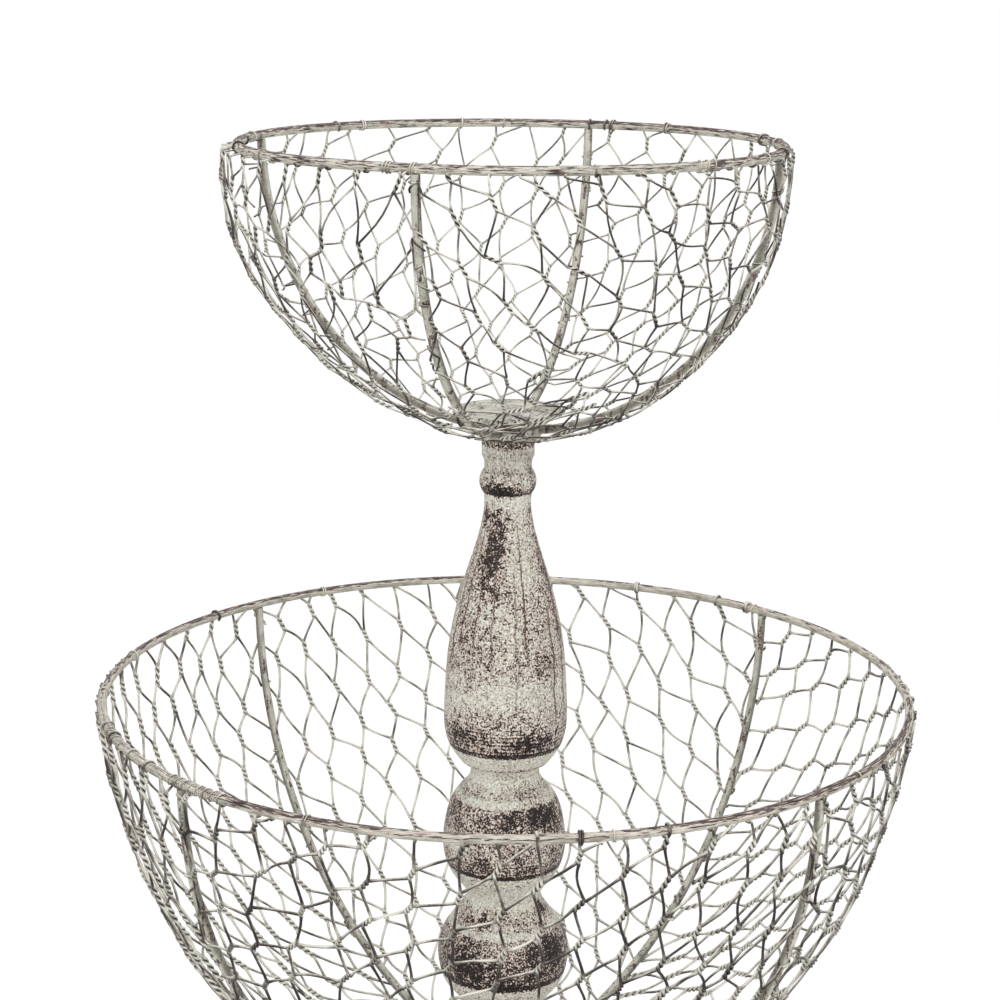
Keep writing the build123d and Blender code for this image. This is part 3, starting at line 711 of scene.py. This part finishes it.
def windStrands(net, cut, twists, reach, dice):
    # every wire goes up through one twist after the other, half of them to each side
    runs, strands = [], []
    coil = net["wire"] * weaving["coil"]
    steps, parts = weaving["twistSteps"], weaving["strandSteps"]
    for family in (1, -1):
        for first in range(-4 * reach, 4 * reach + 1, 2):
            path = []
            for row in range(-reach, reach + 1):
                here = twists.get((first + family * row, row))
                if here is None:
                    if path:
                        runs.append(path)
                    path = []
                    continue
                turned = math.pi if family > 0 else 0.0
                wound = []
                for n in range(steps + 1):
                    angle = turned + 2 * math.pi * net["windings"] * n / steps
                    spot = here["start"].lerp(here["finish"], n / steps)
                    spot += coil * (math.cos(angle) * here["across"] + math.sin(angle) * here["normal"])
                    wound.append(spot)
                if path:
                    # a single strand from the last twist, a little bowed
                    last = path[-1]
                    span = wound[0] - last
                    gap = span.length
                    leave = lastWay * gap * weaving["leave"] + span * (1 - weaving["leave"])
                    arrive = here["way"] * gap * weaving["arrive"] + span * (1 - weaving["arrive"])
                    bow, belly = (dice.gauss(0, net["bow"]) * gap for _ in (0, 1))
                    paler = dice.gauss(0, weaving["strandTones"]) + cut["shade"] * family
                    paler = max(paler, weaving["darkestStrand"])
                    for n in range(1, parts):
                        t = n / parts
                        spot = (2 * t**3 - 3 * t**2 + 1) * last + (t**3 - 2 * t**2 + t) * leave
                        spot += (3 * t**2 - 2 * t**3) * wound[0] + (t**3 - t**2) * arrive
                        bowed = here["across"] * bow + here["normal"] * belly * weaving["belly"]
                        spot += bowed * math.sin(math.pi * t)
                        path.append(spot)
                        strands.append((spot, paler))
                path += wound
                lastWay = here["way"]
            if path:
                runs.append(path)
    return runs, strands


def cutToGore(net, bowl, gore, runs):
    # the wires are cut at the ribs, under the rim and round the hub
    limit = math.radians(weaving["goreHalf"])

    def past(point):
        off = math.atan2(point.x, -point.y) - gore["middle"]
        off = (off + math.pi) % (2 * math.pi) - math.pi
        radius = math.hypot(point.x, point.y)
        if point.z > bowl["rimZ"] - weaving["underRim"]:
            return "rim"
        if radius < net["hole"]:
            return "hole"
        if radius * math.sin(min(abs(off) - limit, 1.5)) > net["seamPast"]:
            return "left" if off < 0 else "right"
        return ""

    kept, ends = [], []
    for path in runs:
        places = [past(point) for point in path]
        current = []
        for n, point in enumerate(path):
            if not places[n]:
                if not current and n and places[n - 1]:
                    current = [path[n - 1].lerp(point, 0.5)]
                    ends.append((len(kept), 0, places[n - 1]))
                current.append(point)
            elif current:
                current.append(path[n - 1].lerp(point, 0.5))
                ends.append((len(kept), -1, places[n]))
                kept.append(current)
                current = []
        if current:
            kept.append(current)
    return kept, ends


def makeGore(tier, number):
    net, bowl = netting[tier], bowlShape(tier)
    cut = net["gores"][number]
    dice = random.Random(1000 * number + len(tier) + 7 * int(tier == "upper"))
    gore = {"middle": math.radians(cut["middle"]), "fanRadius": bowl["across"] / cut["fan"] - bowl["length"]}
    reach = int(bowl["length"] / min(cut["cell"], cut["twist"] + cut["slant"])) + 4
    twists = layTwists(net, bowl, gore, cut, reach, dice)
    runs, strands = windStrands(net, cut, twists, reach, dice)
    kept, ends = cutToGore(net, bowl, gore, runs)
    return kept, ends, twists, strands, bowl


def bendRound(path, centre, reach, outwards, aside, first, final, slide):
    # an arc of wire round a rod, which slides along it
    count = max(2, int(abs(final - first) / weaving["bendStep"]))
    for n in range(count + 1):
        turned = math.radians(first + (final - first) * n / count)
        spot = centre + reach * (math.cos(turned) * outwards + math.sin(turned) * aside)
        path.append(spot + slide * n / count)


def hookRim(path, bowl, net, kind, dice):
    # the wire's end bends round the rim's rod
    last = path[-1]
    bearing = math.atan2(last.x, -last.y)
    outwards = Vector((math.sin(bearing), -math.cos(bearing), 0))
    alongRim = Vector((math.cos(bearing), math.sin(bearing), 0))
    upwards = Vector((0, 0, 1))
    centre = bowl["across"] * outwards + bowl["rimZ"] * upwards
    reach = net["rod"] + net["wire"] / 2 + weaving["clear"]
    moreTurns = dice.choice((0, 0, 1))
    first, final = weaving["hookStart"], weaving["hookEnds"][kind]
    if kind == "wrap":
        final += 360 * moreTurns
    slide = alongRim * dice.choice((-1, 1)) * weaving["hookLead"] * abs(final - first) / 360
    while len(path) > 2 and (path[-1] - centre).length < reach + weaving["hookRoom"]:
        path.pop()
    bendRound(path, centre, reach, outwards, upwards, first, final, slide)


def lashRib(path, side, middle, bowl, net, dice):
    # the wire's end goes over the rib's rod and round to its inner side
    last = path[-1]
    bearing = math.radians(middle + weaving["goreHalf"] * side)
    height = (bowl["rimZ"] - last.z) / bowl["down"]
    angle = math.atan2(math.hypot(last.x, last.y) / bowl["across"], height)
    level = Vector((math.sin(bearing), -math.cos(bearing), 0))
    sideways = Vector((math.cos(bearing), math.sin(bearing), 0)) * side
    upwards = Vector((0, 0, 1))
    centre = level * bowl["across"] * math.sin(angle)
    centre += upwards * (bowl["rimZ"] - bowl["down"] * math.cos(angle))
    outwards = level * math.sin(angle) / bowl["across"] - upwards * math.cos(angle) / bowl["down"]
    outwards.normalize()
    reach = net["rod"] + net["wire"] / 2 + weaving["clear"]
    while len(path) > 3 and (path[-1] - centre).dot(sideways) > -reach:
        path.pop()
    final = dice.choice(weaving["lashEnds"])
    slide = outwards.cross(sideways) * dice.uniform(-weaving["lashSlide"], weaving["lashSlide"])
    bendRound(path, centre, reach, outwards, sideways, weaving["lashStart"], final, slide)


def bendWires(name, runs, thickness):
    line = bpy.data.curves.new(name, "CURVE")
    line.dimensions = "3D"
    line.bevel_depth = thickness / 2
    line.bevel_resolution = weaving["bevelResolution"]
    line.use_fill_caps = True
    for path in runs:
        strand = line.splines.new("POLY")
        strand.points.add(len(path) - 1)
        strand.points.foreach_set("co", [v for p in path for v in (*p, 1.0)])
    made = bpy.data.objects.new(name, line)
    bpy.context.scene.collection.objects.link(made)
    bpy.context.view_layer.objects.active = made
    made.select_set(True)
    bpy.ops.object.convert(target="MESH")
    bpy.ops.object.shade_smooth()
    made = bpy.context.view_layer.objects.active
    made.select_set(False)
    return made


# Paint on the wires and painted shade in the twists' creases, in metres and, up to thin, in wire thicknesses
wireCoat = {
    "twistRadius": 2.6, "creaseShadeAt": 0.62, "creaseShadeWidth": 0.36, "inTwist": 0.06, "inWeb": 0.12, "thin": 0.03,
    "twistPast": 0.0008, "twistFade": 0.0012, "webPast": 0.0004, "webLength": 0.0016, "webTone": 0.8,
}


def markTwists(made, twists, strands, wire):
    # vertex values: wound is 1 in a twist, creaseShade is 1 where its two strands touch,
    # for painted shade there, strand is how pale a single strand is
    twists = list(twists.values())
    byTwist, byStrand = kdtree.KDTree(len(twists)), kdtree.KDTree(len(strands))
    for n, twist in enumerate(twists):
        byTwist.insert((twist["start"] + twist["finish"]) / 2, n)
    for n, (spot, paler) in enumerate(strands):
        byStrand.insert(spot, n)
    byTwist.balance()
    byStrand.balance()
    marks = {"wound": [], "creaseShade": [], "strand": []}
    moved = []
    for vertex in made.data.vertices:
        centre, index, _ = byTwist.find(vertex.co)
        twist = twists[index]
        offset = vertex.co - centre
        run = abs(offset.dot(twist["way"]))
        radial = (offset - twist["way"] * offset.dot(twist["way"])).length / wire
        half = (twist["finish"] - twist["start"]).length / 2
        near = 1.0 if radial < wireCoat["twistRadius"] else 0.0
        share = (half + wireCoat["twistPast"] - run) / wireCoat["twistFade"]
        share = near * min(max(share, 0.0), 1.0)
        # paint gathers in the twists and webs the forks at their ends
        web = near * max(1.0 - abs(run - half - wireCoat["webPast"]) / wireCoat["webLength"], 0.0)
        # painted shade on the side of each strand that faces the twist's middle
        creaseShade = 1.0 - (radial - wireCoat["creaseShadeAt"]) / wireCoat["creaseShadeWidth"]
        marks["wound"].append(max(share, web * wireCoat["webTone"]))
        marks["creaseShade"].append(share * min(max(creaseShade, 0.0), 1.0))
        marks["strand"].append((1.0 - share) * strands[byStrand.find(vertex.co)[1]][1])
        coat = wireCoat["inTwist"] * share + wireCoat["inWeb"] * web - wireCoat["thin"]
        moved.append(vertex.co + vertex.normal * wire * coat)
    made.data.vertices.foreach_set("co", [value for spot in moved for value in spot])
    for name, values in marks.items():
        mark = made.data.attributes.new(name, "FLOAT", "POINT")
        mark.data.foreach_set("value", values)


def finishWire(made, bodyName, node, material):
    made.data.materials.append(material)
    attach(made, bodyName)
    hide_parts(node)
    print(made.name, len(made.data.polygons), "faces")


for tier in ("lower", "upper"):
    net = netting[tier]
    for number, cut in enumerate(net["gores"]):
        dice = random.Random(50 + 10 * number + 12 * int(tier == "upper"))
        runs, ends, twists, strands, bowl = makeGore(tier, number)
        for index, which, where in ends:
            path = runs[index]
            if which == 0:
                path.reverse()
            if where == "rim":
                kind = "wrap" if dice.random() < net["wraps"] else cut["hook"]
                hookRim(path, bowl, net, kind, dice)
            elif where != "hole" and dice.random() < net["lashed"]:
                lashRib(path, -1 if where == "left" else 1, cut["middle"], bowl, net, dice)
            if which == 0:
                path.reverse()
        runs = [path for path in runs if len(path) > weaving["shortest"]]
        gore = bendWires(f"{tier}_netting_gore_{number + 1}", runs, net["wire"])
        markTwists(gore, twists, strands, net["wire"])
        finishWire(gore, f"{tier}_basket", f"{tier}_netting", wirePaints[cut["paint"]])

# Tie wire: single loops that lash the netting to each rim, open coils on the lower
# rim's left side, a fine coil there under the paint and one curled end in front

tieWire = {
    "wire": 0.0007, "ties": 9, "turns": 1.3, "moreOrLess": (0.75, 1.0, 1.6), "astray": 4, "pitch": 0.0012,
    # bearings from the front; coils are bearing, turns, pitch and how deep they lie under the paint
    "lower": {
        "firstTie": -26.0,
        "coils": [
            (-43.0, 7.6, 0.0044, 0.0), (-67.0, 3.4, 0.0090, 0.0), (-86.0, 2.2, 0.0012, 0.0),
            (-60.0, 108.0, 0.0013, 0.00052)],
        "curl": (-1.2, 0.2605),
    },
    "upper": {
        "firstTie": -61.0,
        "coils": [(-24.0, 2.4, 0.0014, 0.0), (41.0, 3.2, 0.0040, 0.0)],
        "curl": None,
    },
    "stepsPerTurn": 9, "fewestSteps": 6, "start": -60, "clear": 0.00003, "loose": (-0.00004, 0.00008),
    "curlRadius": 0.0015, "curlTurn": 300, "curlSteps": 12, "curlOut": 0.001,
    "tail": 0.0050, "tailOut": 0.0006, "tailBack": 0.3,
}


def windRound(tier, bearing, turns, pitch, sunk, dice):
    # a helix round the rim's rod
    bowl = bowlShape(tier)
    reach = netting[tier]["rod"] + tieWire["wire"] / 2 + tieWire["clear"] - sunk
    path = []
    count = max(tieWire["fewestSteps"], int(turns * tieWire["stepsPerTurn"]))
    for n in range(count + 1):
        here = bearing + (n / count - 0.5) * turns * pitch / bowl["across"]
        turned = math.radians(tieWire["start"]) + 2 * math.pi * turns * n / count
        radius = reach + dice.uniform(*tieWire["loose"])
        across = bowl["across"] + radius * math.cos(turned)
        height = bowl["rimZ"] + radius * math.sin(turned)
        path.append(Vector((math.sin(here) * across, -math.cos(here) * across, height)))
    return path


def curlEnd(tier, bearing, along):
    # a cut wire's end, bent to a drop-shaped eye that lies on the netting
    bowl, net = bowlShape(tier), netting[tier]
    radius, steps = tieWire["curlRadius"], tieWire["curlSteps"]
    path = [onBowl(bowl, net, bearing, along + tieWire["tail"], tieWire["tailOut"])[0]]
    for n in range(steps + 1):
        turned = math.radians(tieWire["start"] + tieWire["curlTurn"] * n / steps)
        here = bearing + radius * math.sin(turned) / bowl["across"]
        path.append(onBowl(bowl, net, here, along - radius * math.cos(turned), tieWire["curlOut"])[0])
    return path + [path[0].lerp(path[-1], tieWire["tailBack"])]


for tier in ("lower", "upper"):
    ties = tieWire[tier]
    dice = random.Random(len(tier) + int(tier == "upper"))
    paths = []
    for n in range(tieWire["ties"]):
        astray = dice.uniform(-tieWire["astray"], tieWire["astray"])
        bearing = math.radians(ties["firstTie"] + 360 * n / tieWire["ties"] + astray)
        turns = tieWire["turns"] * dice.choice(tieWire["moreOrLess"])
        paths.append(windRound(tier, bearing, turns, tieWire["pitch"], 0.0, dice))
    for bearing, turns, pitch, sunk in ties["coils"]:
        paths.append(windRound(tier, math.radians(bearing), turns, pitch, sunk, dice))
    if ties["curl"]:
        paths.append(curlEnd(tier, math.radians(ties["curl"][0]), ties["curl"][1]))
    wraps = bendWires(f"{tier}_rim_tie_wire", paths, tieWire["wire"])
    finishWire(wraps, f"{tier}_basket", f"{tier}_rim_ties", wirePaints["clogged"])
print("netting made")


# Floor, world light and lamps

stageSet = {
    "floorSize": 80.0, "floorTone": (0.9, 0.9, 0.9, 1.0), "floorRoughness": 0.9,
    "floorGlow": 1.07, "glowShare": 0.85, "world": 0.68, "lookAt": (0, 0, 0.35),
    # name: place, size and watts
    "lamps": {
        "keyLamp": ((-0.9, -1.6, 1.3), 1.2, 11.0),
        "fillLamp": ((1.2, -1.4, 0.7), 1.4, 6.0),
        "topLamp": ((0.2, 0.3, 2.0), 1.6, 6.0),
    },
}
bpy.ops.mesh.primitive_plane_add(size=stageSet["floorSize"], location=(0, 0, 0))
floor = bpy.context.active_object
floor.name = "studioFloor"
floor.select_set(False)
white, tree, shader = newMaterial("whiteStudioFloor")
shader.inputs["Base Color"].default_value = stageSet["floorTone"]
shader.inputs["Roughness"].default_value = stageSet["floorRoughness"]
seen = addNode(tree, "LightPath", output="Is Camera Ray")
seen = addNode(tree, "Math", {0: seen, 1: stageSet["glowShare"]}, operation="MULTIPLY")
glow = addNode(tree, "Emission", {"Color": (1, 1, 1, 1), "Strength": stageSet["floorGlow"]})
mixed = addNode(tree, "MixShader", {0: seen, 1: shader.outputs[0], 2: glow})
tree.links.new(mixed, tree.nodes["Material Output"].inputs[0])
floor.data.materials.append(white)

# the camera, glossy and clear surfaces see a white world, the object gets less light from it
world = bpy.data.worlds.new("whiteStudio")
bpy.context.scene.world = world
world.use_nodes = True
tree = world.node_tree
rays = addNode(tree, "LightPath").node.outputs
seen = addNode(tree, "Math", {0: rays["Is Camera Ray"], 1: rays["Is Glossy Ray"]}, operation="MAXIMUM")
seen = addNode(tree, "Math", {0: seen, 1: rays["Is Transmission Ray"]}, operation="MAXIMUM")
power = addNode(tree, "MapRange", {0: seen, 3: stageSet["world"], 4: 1.0})
tree.nodes["Background"].inputs["Color"].default_value = (1, 1, 1, 1)
tree.links.new(power, tree.nodes["Background"].inputs["Strength"])

for name, (place, size, watts) in stageSet["lamps"].items():
    lamp = bpy.data.lights.new(name, "AREA")
    lamp.size = size
    lamp.energy = watts
    held = bpy.data.objects.new(name, lamp)
    held.location = place
    held.rotation_euler = (Vector(stageSet["lookAt"]) - Vector(place)).to_track_quat("-Z", "Y").to_euler()
    bpy.context.scene.collection.objects.link(held)

bpy.context.scene.view_settings.view_transform = "Standard"
print("stage set")
